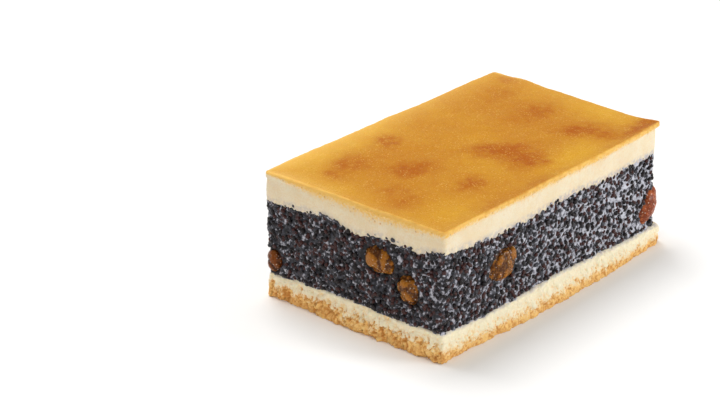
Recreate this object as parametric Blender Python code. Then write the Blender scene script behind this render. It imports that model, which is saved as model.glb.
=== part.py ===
"""A cut slice of poppy seed tray cake.

Three layers lie on each other: a crumbly shortcrust base, a thick poppy seed filling with raisins in its cut
faces, and a custard topping whose baked skin makes a thin lip round the upper edge. The slice was cut by hand,
so its corners are a little out of square and the lines between the layers rise and fall.

Frame: metres, +Z up, origin on the plate under the middle of the slice, X along the long cut faces.
The corners are named near, right, far and left, going round anticlockwise as seen from above. The near corner
is at -X -Y. A place on the outline is its way: 0 at the near corner, 1 at the right one, 2 far, 3 left.
"""

import math
import random

import bmesh
import bpy
from mathutils import Matrix, Vector, noise

# Driving dimensions
LENGTH = 0.1060  # of the base, along X
WIDTH = 0.0660  # of the base, along Y
HEIGHT = 0.0404  # from the plate to the rim of the baked skin
LAYER_GAP = 0.0003  # between two layers, as between any touching solids
SKIN_DEPTH = 0.0025  # of the baked skin's lip, seen from the side
SKIN_LIP = 0.0002  # how far the lip stands out over the custard under it
SKIN_CREST = 0.0003  # how far the skin's rim rises over the flat top
RIM_WIDTH = 0.0042  # from the skin's edge to the flat top
EDGE_ROUNDING = 0.0006  # height of the skin's rounded upper edge
LIP_FOOT_RISE = 0.0003  # half the height over which the lip comes out of the custard
LEFT_CORNER_DROOP = 0.0003  # how far the skin's rim sinks at the left corner
RIGHT_CORNER_RISE = 0.0009  # how far it curls up at the right corner
CORNER_REACH = 0.12  # how far both go along the edges, as a way

# How far each layer's corners lie from the base's nominal rectangle, along X and Y: near, right, far, left
BASE_CORNERS = ((0.0, -0.0001), (0.0008, -0.0006), (0.0005, 0.0), (-0.0004, 0.0002))
FILLING_FOOT_CORNERS = ((0.0003, 0.0004), (-0.0013, 0.0004), (-0.0009, -0.0005), (-0.0002, -0.0001))
FILLING_HEAD_CORNERS = ((0.0008, 0.0003), (-0.0029, 0.0005), (0.0001, -0.0006), (-0.0005, 0.0))
TOPPING_CORNERS = ((0.0010, 0.0002), (-0.0025, 0.0005), (0.0004, -0.0007), (-0.0006, 0.0))
SKIN_CORNERS = ((0.0009, 0.0001), (-0.0014, 0.0), (0.0004, -0.0006), (-0.0005, 0.0002))

# Heights of the lines between the layers, at even stations along each cut face, from one corner to the next.
# The two front faces show in the photo; the two back faces go on in the same way.
BASE_TOP = (
    (0.0092, 0.0079, 0.0078, 0.0082, 0.0074, 0.0066),  # long front face, near to right
    (0.0064, 0.0072, 0.0078, 0.0073),  # short back face, right to far
    (0.0070, 0.0078, 0.0086, 0.0079, 0.0083, 0.0076),  # long back face, far to left
    (0.0077, 0.0085, 0.0090, 0.0088),  # short front face, left to near
)
FILLING_TOP = (
    (0.0336, 0.0321, 0.0313, 0.0315, 0.0321, 0.0310, 0.0310),
    (0.0313, 0.0325, 0.0311, 0.0320, 0.0310),
    (0.0309, 0.0318, 0.0329, 0.0314, 0.0321, 0.0328, 0.0312),
    (0.0315, 0.0319, 0.0326, 0.0308, 0.0323, 0.0319),
)

# Corner rounding of each layer, and the number of points along the straight part of each face
BASE_ROUNDING = 0.0018
FILLING_ROUNDING = 0.0012
TOPPING_ROUNDING = 0.0012
LONG_FACE_POINTS = 25
SHORT_FACE_POINTS = 16
CORNER_POINTS = 4
FILLING_BANDS = 6  # of faces, one over the other, in the filling's walls
INTERFACE_BAND = 0.0032  # width of the hidden rim along which an interface keeps its edge's height

# Relief of the cut faces
CRUMB_RELIEF = 0.00045
CRUMB_SETBACK = 0.00015  # of the base's walls, so that their crumbs stand about the outline
BASE_BULGE = 0.0002  # of the base's walls at mid height
CRUMB_SIZE = 0.0030
FILLING_RELIEF = 0.0004
FILLING_LUMP_SIZE = 0.0042
CUSTARD_RELIEF = 0.0002
CUSTARD_WAVE_SIZE = 0.0110
LIP_RELIEF = 0.00015
LIP_WAVE_SIZE = 0.0060
BOTTOM_EDGE_TUCK = 0.0005  # how far the base's lowest edge is rubbed in

# Poppy seeds that stand out of the filling's cut faces
SEED_LENGTH = 0.0013
SEED_WIDTH = 0.0011
SEED_EMBEDDED = 0.3  # share of a seed's radius by which its middle lies behind the face
SEED_SPACING = 0.0074  # along a face
SEED_ROWS = 4  # one over the other
SEED_CLEAR_OF_LAYERS = 0.0022
SEED_CLEAR_OF_RAISINS = 0.0012
SEED_DRAW = 11  # seeds the random draw of places, sizes and turns

# Raisins: name, face, way along that face (0 to 1), height, length, width, lean of the length in degrees.
# The face is the way of its first corner; a raisin near 0 or 1 wraps round the corner.
RAISINS = (
    ("raisin_upper_short_front", 3, 0.650, 0.0247, 0.0122, 0.0090, -6.0),
    ("raisin_lower_short_front", 3, 0.810, 0.0190, 0.0098, 0.0080, 104.0),
    ("raisin_long_front", 0, 0.272, 0.0206, 0.0142, 0.0106, 16.0),
    ("raisin_left_corner", 3, 0.036, 0.0121, 0.0084, 0.0068, 80.0),
    ("raisin_right_corner", 0, 0.982, 0.0133, 0.0126, 0.0072, 60.0),
    ("raisin_short_back", 1, 0.585, 0.0222, 0.0112, 0.0084, -24.0),
    ("raisin_first_long_back", 2, 0.300, 0.0186, 0.0120, 0.0088, 12.0),
    ("raisin_second_long_back", 2, 0.690, 0.0234, 0.0104, 0.0080, -35.0),
)
RAISIN_THICKNESS = 0.0068
RAISIN_PROUD = 0.0012  # how far a raisin bulges out of its face
RAISIN_GAP = 0.0004  # between a raisin and the wall of its pocket
RAISIN_WRINKLE = 0.10  # depth of the wrinkles, as a share of the radius
RAISIN_WRINKLES = 5

# Finishes: colour, roughness
SHORTCRUST_FINISH = ((0.80, 0.60, 0.33, 1.0), 0.85)
FILLING_FINISH = ((0.09, 0.085, 0.10, 1.0), 0.75)
CUSTARD_FINISH = ((0.87, 0.74, 0.50, 1.0), 0.55)
SKIN_FINISH = ((0.72, 0.36, 0.06, 1.0), 0.35)
RAISIN_FINISH = ((0.20, 0.075, 0.02, 1.0), 0.35)


def clear_scene():
    """Removes whatever the file held before."""
    for obj in list(bpy.data.objects):
        bpy.data.objects.remove(obj, do_unlink=True)


def new_collection(name):
    """A collection under the scene's own."""
    collection = bpy.data.collections.new(name)
    bpy.context.scene.collection.children.link(collection)
    return collection


def new_material(name, finish):
    """A matte food surface: finish is (colour, roughness)."""
    colour, roughness = finish
    material = bpy.data.materials.new(name)
    material.use_nodes = True
    shader = material.node_tree.nodes["Principled BSDF"]
    shader.inputs["Base Color"].default_value = colour
    shader.inputs["Roughness"].default_value = roughness
    shader.inputs["Metallic"].default_value = 0.0
    material.diffuse_color = colour
    return material


def object_from(bm, name, collection, *materials):
    """Turns a bmesh into a named object with its materials."""
    bm.normal_update()
    bmesh.ops.recalc_face_normals(bm, faces=bm.faces)
    mesh = bpy.data.meshes.new(name)
    bm.to_mesh(mesh)
    bm.free()
    obj = bpy.data.objects.new(name, mesh)
    collection.objects.link(obj)
    for material in materials:
        mesh.materials.append(material)
    return obj


# The outline


def corner_places(offsets):
    """The four corners of an outline, near, right, far and left."""
    signs = ((-1, -1), (1, -1), (1, 1), (-1, 1))
    return [
        Vector((sx * LENGTH / 2 + dx, sy * WIDTH / 2 + dy, 0.0))
        for (sx, sy), (dx, dy) in zip(signs, offsets)
    ]


def outline(offsets, rounding):
    """Points of a rounded outline, each as (way, place). Every layer has the same count and order of them."""
    corners = corner_places(offsets)
    points = []
    for face in range(4):
        before, corner, after = corners[face - 1], corners[face], corners[(face + 1) % 4]
        into = corner + (before - corner).normalized() * rounding
        out = corner + (after - corner).normalized() * rounding
        length_in, length_out = (corner - before).length, (after - corner).length
        for k in range(CORNER_POINTS):
            u = k / (CORNER_POINTS - 1)
            place = into * (1 - u) ** 2 + corner * (2 * u * (1 - u)) + out * u**2
            past_corner = (2 * u - 1) * rounding
            way = face + past_corner / (length_out if past_corner > 0 else length_in)
            points.append((way % 4, place))
        straight = LONG_FACE_POINTS if face % 2 == 0 else SHORT_FACE_POINTS
        next_in = after + (corner - after).normalized() * rounding
        for k in range(1, straight + 1):
            place = out.lerp(next_in, k / (straight + 1))
            points.append((face + (place - corner).length / length_out, place))
    return points


def height_at(stations, way):
    """The height of a line between layers at a way, smooth between its stations and all round the slice."""
    heights = [h for face in stations for h in face]
    ways = [i + k / len(face) for i, face in enumerate(stations) for k in range(len(face))]
    count = len(heights)
    k = max(i for i in range(count) if ways[i] <= way % 4)
    end = ways[k + 1] if k + 1 < count else 4.0
    t = (way % 4 - ways[k]) / (end - ways[k])
    h0, h1, h2, h3 = (heights[(k + i) % count] for i in (-1, 0, 1, 2))
    return h1 + 0.5 * t * (h2 - h0 + t * (2 * h0 - 5 * h1 + 4 * h2 - h3 + t * (3 * (h1 - h2) + h3 - h0)))


def outward(places, k):
    """The outline's outward direction at its point k."""
    along = places[(k + 1) % len(places)] - places[k - 1]
    return Vector((along.y, -along.x, 0.0)).normalized()


def lumps(place, size, octaves=2):
    """Smooth noise from about -1 to 1, for lumps of a given size."""
    return noise.fractal(place / size, 0.8, 2.1, octaves, noise_basis="PERLIN_ORIGINAL") * 1.6


# Layers


def ring(bm, offsets, rounding, height, relief=None):
    """One ring of a layer's wall. height is a function of the way, relief one of a place and its height."""
    points = outline(offsets, rounding)
    places = [place for _, place in points]
    made = []
    for k, (way, place) in enumerate(points):
        z = height(way)
        at = Vector((place.x, place.y, z))
        if relief:
            at += outward(places, k) * relief(at)
        made.append(bm.verts.new(at))
    return made


def blend_corners(low, high, share):
    """Corner offsets part of the way from one set to another."""
    return tuple(
        (a[0] + (b[0] - a[0]) * share, a[1] + (b[1] - a[1]) * share) for a, b in zip(low, high)
    )


def inset_corners(inset):
    """Corner offsets of the nominal rectangle, drawn in by inset on each side."""
    return ((inset, inset), (-inset, inset), (-inset, -inset), (inset, -inset))


def join_rings(bm, first, second):
    """The band of faces between two rings."""
    count = len(first)
    return [
        bm.faces.new((first[k], first[(k + 1) % count], second[(k + 1) % count], second[k]))
        for k in range(count)
    ]


def close_hidden_face(bm, rim, height, middle):
    """Closes a face that lies on another layer: a level band behind the edge, then a fan to the middle."""
    inner = ring(bm, inset_corners(INTERFACE_BAND), FILLING_ROUNDING, height)
    join_rings(bm, rim, inner)
    fan_to(bm, inner, Vector((0.0, 0.0, middle)))


def fan_to(bm, rim, middle):
    """Closes a ring with a fan of triangles round a middle point."""
    hub = bm.verts.new(middle)
    return [bm.faces.new((rim[k - 1], rim[k], hub)) for k in range(len(rim))]


def mean_height(stations):
    heights = [h for face in stations for h in face]
    return sum(heights) / len(heights)


def base_top(way):
    return height_at(BASE_TOP, way)


def filling_top(way):
    return height_at(FILLING_TOP, way)


def build_base(collection, material):
    """The shortcrust: a flat underside, rough crumbly walls rubbed in along the bottom edge."""
    bm = bmesh.new()
    shares = (0.0, 0.16, 0.42, 0.7, 1.0)
    rings = []
    for share in shares:
        tuck = BOTTOM_EDGE_TUCK * max(0.0, 1 - share / 0.16)
        bulge = BASE_BULGE * math.sin(math.pi * share)

        def relief(at, tuck=tuck, bulge=bulge, share=share):
            crumbs = CRUMB_RELIEF * lumps(at, CRUMB_SIZE)
            return crumbs * (0.6 if share in (0.0, 1.0) else 1.0) + bulge - tuck - CRUMB_SETBACK

        def height(way, share=share):
            return share * (base_top(way) - LAYER_GAP / 2)

        rings.append(ring(bm, BASE_CORNERS, BASE_ROUNDING, height, relief))
    for low, high in zip(rings, rings[1:]):
        join_rings(bm, low, high)
    fan_to(bm, rings[0], Vector((0.0, 0.0, 0.0)))
    close_hidden_face(
        bm, rings[-1], lambda way: base_top(way) - LAYER_GAP / 2, mean_height(BASE_TOP) - LAYER_GAP / 2
    )
    return object_from(bm, "shortcrust_base", collection, material)


def filling_wall(share):
    """(corner offsets, height function, relief function) of the filling's wall, share of the way up."""
    corners = blend_corners(FILLING_FOOT_CORNERS, FILLING_HEAD_CORNERS, share)

    def height(way):
        low, high = base_top(way) + LAYER_GAP / 2, filling_top(way) - LAYER_GAP / 2
        return low + share * (high - low)

    def relief(at):
        return FILLING_RELIEF * lumps(at, FILLING_LUMP_SIZE)

    return corners, height, relief


def build_filling(collection, material):
    """The poppy seed layer's core, with uneven cut walls."""
    bm = bmesh.new()
    rings = []
    for k in range(FILLING_BANDS + 1):
        corners, height, relief = filling_wall(k / FILLING_BANDS)
        rings.append(ring(bm, corners, FILLING_ROUNDING, height, relief))
    for low, high in zip(rings, rings[1:]):
        join_rings(bm, low, high)
    close_hidden_face(
        bm, rings[0], lambda way: base_top(way) + LAYER_GAP / 2, mean_height(BASE_TOP) + LAYER_GAP / 2
    )
    close_hidden_face(
        bm, rings[-1], lambda way: filling_top(way) - LAYER_GAP / 2, mean_height(FILLING_TOP) - LAYER_GAP / 2
    )
    return object_from(bm, "poppy_filling", collection, material)


def build_topping(collection, custard, skin):
    """The custard with its baked skin: smooth walls, a thin lip of skin round the top and a level surface."""
    bm = bmesh.new()
    lip_foot = HEIGHT - SKIN_DEPTH

    def from_filling(share):
        return lambda way: (1 - share) * (filling_top(way) + LAYER_GAP / 2) + share * (lip_foot - LIP_FOOT_RISE)

    def wave(at):
        return CUSTARD_RELIEF * lumps(at, CUSTARD_WAVE_SIZE)

    def lip(at):
        return SKIN_LIP + LIP_RELIEF * lumps(at, LIP_WAVE_SIZE)

    rings = [
        ring(bm, TOPPING_CORNERS, TOPPING_ROUNDING, from_filling(0.0), wave),
        ring(bm, TOPPING_CORNERS, TOPPING_ROUNDING, from_filling(0.5), wave),
        ring(bm, TOPPING_CORNERS, TOPPING_ROUNDING, from_filling(1.0), wave),
        ring(bm, SKIN_CORNERS, TOPPING_ROUNDING, lambda way: lip_foot + LIP_FOOT_RISE, lip),
        ring(bm, SKIN_CORNERS, TOPPING_ROUNDING, lambda way: crest_height(way) - EDGE_ROUNDING, lip),
        ring(bm, SKIN_CORNERS, TOPPING_ROUNDING, crest_height),
    ]
    for low, high in zip(rings, rings[1:]):
        join_rings(bm, low, high)
    flat = ring(bm, inset_corners(RIM_WIDTH), TOPPING_ROUNDING, lambda way: HEIGHT - SKIN_CREST)
    top_faces = join_rings(bm, rings[-1], flat)
    top_faces += fan_to(bm, flat, Vector((0.0, 0.0, HEIGHT - SKIN_CREST)))
    for face in top_faces:
        face.material_index = 1
    for face in bm.faces:
        if face.calc_center_median().z > lip_foot:
            face.material_index = 1
    close_hidden_face(
        bm, rings[0], lambda way: filling_top(way) + LAYER_GAP / 2, mean_height(FILLING_TOP) + LAYER_GAP / 2
    )
    return object_from(bm, "custard_topping", collection, custard, skin)


def near_corner(way, corner):
    """How near a way is to one corner: 1 at it, and soon 0 on both sides."""
    away = abs((way - corner + 2) % 4 - 2)
    return math.exp(-((away / CORNER_REACH) ** 2))


def crest_height(way):
    """The height of the skin's rim, which droops a little at the left corner and curls up at the right one."""
    return HEIGHT - LEFT_CORNER_DROOP * near_corner(way, 3) + RIGHT_CORNER_RISE * near_corner(way, 1)


# Raisins


def raisin_frame(face, along, height, lean):
    """The matrix that carries a raisin's own axes (length, thickness, width) to its place in a cut face."""
    corners = corner_places(blend_corners(FILLING_FOOT_CORNERS, FILLING_HEAD_CORNERS, 0.5))
    start, end = corners[face], corners[(face + 1) % 4]
    direction = (end - start).normalized()
    normal = Vector((direction.y, -direction.x, 0.0))
    middle = start.lerp(end, along) + normal * (RAISIN_PROUD - RAISIN_THICKNESS / 2)
    middle.z = height
    axes = Matrix((direction, -normal, Vector((0, 0, 1)))).transposed().to_4x4()
    return Matrix.Translation(middle) @ axes @ Matrix.Rotation(-math.radians(lean), 4, "Y")


def ellipsoid(bm, frame, length, thickness, width, segments, rings):
    """A closed ellipsoid with its poles at the ends of its length."""
    size = Matrix.Diagonal((length / 2, thickness / 2, width / 2, 1.0))
    poles_along_length = Matrix.Rotation(math.radians(90), 4, "Y")
    made = bmesh.ops.create_uvsphere(
        bm, u_segments=segments, v_segments=rings, radius=1.0, matrix=poles_along_length
    )["verts"]
    return made, frame @ size


def build_raisin(collection, material, name, face, along, height, length, width, lean):
    """One raisin: an egg shape with wrinkles along its length."""
    bm = bmesh.new()
    frame = raisin_frame(face, along, height, lean)
    made, place = ellipsoid(bm, frame, length, RAISIN_THICKNESS, width, 12, 8)
    for vert in made:
        turn = math.atan2(vert.co.z, vert.co.y)
        folds = math.sin(RAISIN_WRINKLES * turn + 3.0 * vert.co.x + 40.0 * height / HEIGHT)
        toward_ends = 1 - vert.co.x**2
        vert.co *= 1 - RAISIN_WRINKLE * toward_ends * (0.5 + 0.5 * folds)
        vert.co = place @ vert.co
    return object_from(bm, name, collection, material)


def build_pocket(collection, name, face, along, height, length, width, lean):
    """The cutter that makes room for one raisin, larger than it all round."""
    bm = bmesh.new()
    frame = raisin_frame(face, along, height, lean)
    room = 2 * RAISIN_GAP
    made, place = ellipsoid(bm, frame, length + room, RAISIN_THICKNESS + room, width + room, 14, 9)
    for vert in made:
        vert.co = place @ vert.co
    cutter = object_from(bm, name + "_pocket", collection)
    cutter.hide_render = True
    cutter.display_type = "WIRE"
    return cutter


# Poppy seeds on the cut faces


def seed_places(draw):
    """Places, outward directions of the seeds: staggered rows on each cut face, shaken up by the draw."""
    corners = corner_places(blend_corners(FILLING_FOOT_CORNERS, FILLING_HEAD_CORNERS, 0.5))
    found = []
    for face in range(4):
        start, end = corners[face], corners[(face + 1) % 4]
        length = (end - start).length
        columns = int(length / SEED_SPACING)
        direction = (end - start).normalized()
        normal = Vector((direction.y, -direction.x, 0.0))
        for row in range(SEED_ROWS):
            for column in range(columns):
                stagger = 0.25 if row % 2 else 0.75
                along = (column + stagger + draw.uniform(-0.22, 0.22)) / columns
                share = (row + 0.5 + draw.uniform(-0.3, 0.3)) / SEED_ROWS
                found.append((face, along, share, normal))
    return found


def seed_surface(face, along, share):
    """The point of the filling's wall at a way and a share of its height, without its relief."""
    corners = corner_places(filling_wall(share)[0])
    place = corners[face].lerp(corners[(face + 1) % 4], along)
    place.z = filling_wall(share)[1](face + along)
    return place


def clear_of_raisins(place):
    """Whether a seed at this place stays out of every raisin's pocket."""
    for _, face, along, height, length, width, lean in RAISINS:
        local = raisin_frame(face, along, height, lean).inverted() @ place
        reach = (
            length / 2 + SEED_CLEAR_OF_RAISINS,
            RAISIN_THICKNESS / 2 + SEED_CLEAR_OF_RAISINS,
            width / 2 + SEED_CLEAR_OF_RAISINS,
        )
        if sum((v / r) ** 2 for v, r in zip(local, reach)) < 1.2:
            return False
    return True


def build_seeds(collection):
    """The seeds that stand out of the filling, each its own small solid, ready to be joined to it."""
    draw = random.Random(SEED_DRAW)
    count = 0
    for face, along, share, normal in seed_places(draw):
        place = seed_surface(face, along, share)
        size = draw.uniform(0.85, 1.15)
        turn = Matrix.Rotation(draw.uniform(0, math.pi), 4, normal)
        way = face + along
        low, high = base_top(way) + SEED_CLEAR_OF_LAYERS, filling_top(way) - SEED_CLEAR_OF_LAYERS
        if not low < place.z < high or not clear_of_raisins(place):
            continue
        relief = FILLING_RELIEF * lumps(place, FILLING_LUMP_SIZE)
        place += normal * (relief - SEED_EMBEDDED * SEED_WIDTH / 2)
        bm = bmesh.new()
        shape = Matrix.Diagonal((SEED_LENGTH / 2 * size, SEED_WIDTH / 2 * size, SEED_WIDTH / 2 * size, 1.0))
        matrix = Matrix.Translation(place) @ turn @ shape
        bmesh.ops.create_uvsphere(bm, u_segments=5, v_segments=4, radius=1.0, matrix=matrix)
        object_from(bm, f"seed_{count:03d}", collection)
        count += 1


# Joining and cutting


def apply_boolean(obj, collection, operation, solver):
    """Applies one Boolean of the whole collection to obj, and removes the collection with its objects."""
    modifier = obj.modifiers.new(operation.title(), "BOOLEAN")
    modifier.operation = operation
    modifier.operand_type = "COLLECTION"
    modifier.collection = collection
    modifier.solver = solver
    graph = bpy.context.evaluated_depsgraph_get()
    mesh = bpy.data.meshes.new_from_object(obj.evaluated_get(graph))
    obj.modifiers.clear()
    old = obj.data
    obj.data = mesh
    mesh.name = obj.name
    bpy.data.meshes.remove(old)
    for helper in list(collection.objects):
        bpy.data.objects.remove(helper, do_unlink=True)
    bpy.data.collections.remove(collection)


def build_slice():
    """Makes the whole slice."""
    clear_scene()
    cake = new_collection("poppy seed cake")
    shortcrust = new_material("shortcrust", SHORTCRUST_FINISH)
    poppy = new_material("poppy seed filling", FILLING_FINISH)
    custard = new_material("custard", CUSTARD_FINISH)
    skin = new_material("baked skin", SKIN_FINISH)
    raisin = new_material("raisin", RAISIN_FINISH)

    build_base(cake, shortcrust)
    filling = build_filling(cake, poppy)
    build_topping(cake, custard, skin)

    pockets = new_collection("raisin pockets")
    for values in RAISINS:
        build_pocket(pockets, *values)
    apply_boolean(filling, pockets, "DIFFERENCE", "EXACT")
    seeds = new_collection("poppy seeds")
    build_seeds(seeds)
    apply_boolean(filling, seeds, "UNION", "MANIFOLD")

    for values in RAISINS:
        build_raisin(cake, raisin, *values)


build_slice()
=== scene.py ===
"""A cut slice of poppy seed tray cake, dressed for a studio picture.

The slice has a crumbly shortcrust base, a thick poppy seed filling with raisins in its cut faces, and a
custard topping under a thin golden baked skin.

Frame: metres, +Z up, origin on the floor under the middle of the slice, X along the long cut faces. The
corners are named near, right, far and left, going round anticlockwise as seen from above. The near corner is
at -X -Y. A place on the outline is its way: 0 at the near corner, 1 at the right one, 2 far, 3 left.
"""

import logging
import math
from dataclasses import dataclass
from enum import Enum

import bpy
import numpy as np
from mathutils import Matrix, Vector, noise


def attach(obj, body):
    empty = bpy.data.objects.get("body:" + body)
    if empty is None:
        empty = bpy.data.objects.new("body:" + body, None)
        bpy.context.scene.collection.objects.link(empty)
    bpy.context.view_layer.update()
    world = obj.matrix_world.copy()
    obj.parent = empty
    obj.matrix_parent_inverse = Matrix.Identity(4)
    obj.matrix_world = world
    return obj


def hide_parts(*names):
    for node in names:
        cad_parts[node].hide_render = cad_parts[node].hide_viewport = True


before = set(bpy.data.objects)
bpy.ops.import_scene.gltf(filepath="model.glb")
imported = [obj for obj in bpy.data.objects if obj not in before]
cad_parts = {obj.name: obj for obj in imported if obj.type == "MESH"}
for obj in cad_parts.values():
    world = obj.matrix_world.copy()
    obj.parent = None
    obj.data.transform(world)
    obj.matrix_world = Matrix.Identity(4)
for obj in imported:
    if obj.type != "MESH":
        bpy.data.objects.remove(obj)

LOG = logging.getLogger("poppy seed cake")

MM = 0.001
LENGTH = 106 * MM  # of the base, along X
WIDTH = 66 * MM  # of the base, along Y
HEIGHT = 40.4 * MM  # to the rim of the baked skin
BODY = "root"
SQUARE = ((-1, -1), (1, -1), (1, 1), (-1, 1))  # the near, right, far and left corners
HIDDEN_RING = (0.9, 0.9, 1)  # scale of a closing ring that lies inside the slice

Offsets = tuple[tuple[float, float], ...]
Size = float | tuple[float, float, float]
Fields = dict[str, np.ndarray]
Colour = tuple[float, float, float, float]


def smooth_step(low: float, high: float, values: np.ndarray) -> np.ndarray:
    """Rises smoothly from 0 at low to 1 at high.

    Args:
        low: where the rise starts.
        high: where it ends. It may lie under low, for a fall.
        values: numbers to look up.

    Returns:
        An array of the values' shape, from 0 to 1.
    """
    share = np.clip((values - low) / (high - low), 0.0, 1.0)
    return share * share * (3 - 2 * share)


def clouds(points: np.ndarray, size: Size, octaves: int = 2, seed: float = 0.0) -> np.ndarray:
    """Smooth noise from about -1 to 1.

    Args:
        points: places, in an array whose last axis is X, Y and Z.
        size: of the lumps, in metres, or one size along each axis.
        octaves: how many finer layers the noise has.
        seed: moves the noise, so that two fields differ.

    Returns:
        An array with one number for each place.
    """
    scaled = points.reshape(-1, 3) / np.asarray(size) + seed
    found = [noise.fractal(p, 0.8, 2.1, octaves, noise_basis="PERLIN_ORIGINAL") for p in scaled.tolist()]
    return 1.6 * np.array(found).reshape(points.shape[:-1])


def cells(points: np.ndarray, size: Size, seed: float = 0.0) -> tuple[np.ndarray, np.ndarray, np.ndarray]:
    """Rounded cells, as crumbs have.

    Args:
        points: places, in an array whose last axis is X, Y and Z.
        size: of a cell, in metres, or one size along each axis.
        seed: moves the cells, so that two fields differ.

    Returns:
        For each place the distance to its cell's heart, how far it is from the cell's border, both in cell
        sizes, and a random number of the cell's own from 0 to 1.
    """
    scaled = points.reshape(-1, 3) / np.asarray(size) + seed
    found = [noise.voronoi(p) for p in scaled.tolist()]
    near = np.array([distances[:2] for distances, _ in found])
    hearts = np.array([places[0] for _, places in found])
    own = np.modf(np.abs(np.sin(hearts @ (12.9898, 78.233, 37.719)) * 43758.5453))[0]
    shape = points.shape[:-1]
    return near[:, 0].reshape(shape), (near[:, 1] - near[:, 0]).reshape(shape), own.reshape(shape)


@dataclass(frozen=True)
class Trace:
    """Even points round a layer's outline: their ways, places and outward directions."""

    ways: np.ndarray
    places: np.ndarray
    outward: np.ndarray


@dataclass(frozen=True)
class Outline:
    """A layer's rounded outline, a little out of square."""

    offsets: Offsets  # of the near, right, far and left corners from the nominal ones
    rounding: float

    @classmethod
    def in_mm(cls, offsets: Offsets, rounding: float) -> "Outline":
        """An outline whose sizes are given in millimetres."""
        return cls(tuple((x * MM, y * MM) for x, y in offsets), rounding * MM)

    def corners(self) -> np.ndarray:
        """The four corners' X and Y."""
        nominal = np.array(SQUARE) * (LENGTH / 2, WIDTH / 2)
        return nominal + np.array(self.offsets)

    def blended(self, other: "Outline", share: float) -> "Outline":
        """The outline a share of the way to another."""
        corners = (1 - share) * np.array(self.offsets) + share * np.array(other.offsets)
        return Outline(tuple(map(tuple, corners)), self.rounding)

    def trace(self, step: float) -> Trace:
        """Follows the outline once, from just before the near corner.

        Args:
            step: the distance between two points.

        Returns:
            The points. Outlines of one rounding have the same count and order of them.
        """
        corners = self.corners()
        arc = max(4, round(1.6 * self.rounding / step))
        ways, places = [], []
        for face in range(4):
            before, corner, after = corners[face - 1], corners[face], corners[(face + 1) % 4]
            length_in = np.linalg.norm(corner - before)
            length_out = np.linalg.norm(after - corner)
            into = corner + (before - corner) / length_in * self.rounding
            out = corner + (after - corner) / length_out * self.rounding
            next_in = after + (corner - after) / length_out * self.rounding
            turn = (np.arange(arc) / arc)[:, None]
            places.append(into * (1 - turn) ** 2 + corner * 2 * turn * (1 - turn) + out * turn**2)
            past = (2 * turn[:, 0] - 1) * self.rounding
            ways.append((face + past / np.where(past > 0, length_out, length_in)) % 4)
            nominal = LENGTH if face % 2 == 0 else WIDTH
            count = round((nominal - 2 * self.rounding) / step)
            share = (np.arange(count) / count)[:, None]
            straight = out * (1 - share) + next_in * share
            places.append(straight)
            ways.append(face + np.linalg.norm(straight - corner, axis=1) / length_out)
        place = np.concatenate(places)
        along = np.roll(place, -1, axis=0) - np.roll(place, 1, axis=0)
        outward = np.stack((along[:, 1], -along[:, 0]), axis=1)
        outward /= np.linalg.norm(outward, axis=1)[:, None]
        return Trace(np.concatenate(ways), place, outward)


@dataclass(frozen=True)
class RoundLine:
    """A number that varies smoothly round the slice, given at even stations along each face."""

    stations: tuple[tuple[float, ...], ...]

    @classmethod
    def in_mm(cls, *faces: tuple[float, ...]) -> "RoundLine":
        """A line of lengths that are given in millimetres, one row a face."""
        return cls(tuple(tuple(value * MM for value in face) for face in faces))

    def at(self, ways: np.ndarray) -> np.ndarray:
        """The number at each way."""
        values = np.array([v for face in self.stations for v in face])
        knots = np.array(
            [i + k / len(face) for i, face in enumerate(self.stations) for k in range(len(face))]
        )
        count = len(values)
        k = np.searchsorted(knots, ways % 4, side="right") - 1
        t = (ways % 4 - knots[k]) / (np.append(knots, 4.0)[k + 1] - knots[k])
        h0, h1, h2, h3 = (values[(k + i) % count] for i in (-1, 0, 1, 2))
        return h1 + 0.5 * t * (h2 - h0 + t * (2 * h0 - 5 * h1 + 4 * h2 - h3 + t * (3 * (h1 - h2) + h3 - h0)))


# The layers' outlines, from the underside up.
BASE_OUTLINE = Outline.in_mm(((0.0, -0.1), (0.8, -0.6), (0.5, 0.0), (-0.4, 0.2)), 1.8)
FILLING_FOOT = Outline.in_mm(((0.3, 0.4), (-1.3, 0.4), (-0.9, -0.5), (-0.2, -0.1)), 1.2)
FILLING_HEAD = Outline.in_mm(((0.8, 0.3), (-2.9, 0.5), (0.1, -0.6), (-0.5, 0.0)), 1.2)
TOPPING_OUTLINE = Outline.in_mm(((1.0, 0.2), (-2.5, 0.5), (0.4, -0.7), (-0.6, 0.0)), 1.2)
SKIN_OUTLINE = Outline.in_mm(((0.9, 0.1), (-1.4, 0.0), (0.4, -0.6), (-0.5, 0.2)), 1.2)

# The height of the line between the base and the filling.
BASE_TOP = RoundLine.in_mm(
    (9.2, 7.9, 7.8, 8.2, 7.4, 6.6),
    (6.4, 7.2, 7.8, 7.3),
    (7.0, 7.8, 8.6, 7.9, 8.3, 7.6),
    (7.7, 8.5, 9.0, 8.8),
)

# How far the base's foot spreads out.
FOOT_SPREAD = RoundLine.in_mm(
    (0.0, 0.3, 1.3, 2.1, 2.2, 2.1, 1.9, 1.2),
    (0.4, 0.2, 0.3, 0.2),
    (0.2, 0.7, 0.9, 0.6),
    (0.3, 0.2, 0.5, 0.7, 0.3, 0.6),
)

# The height of the ragged line between the filling and the custard.
FILLING_TOP = RoundLine.in_mm(
    (33.6, 32.1, 31.3, 31.5, 32.1, 31.0, 31.0),
    (31.3, 32.5, 31.1, 32.0, 31.0),
    (30.9, 31.8, 32.9, 31.4, 32.1, 32.8, 31.2),
    (31.5, 31.9, 32.6, 30.8, 32.3, 31.9),
)

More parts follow.
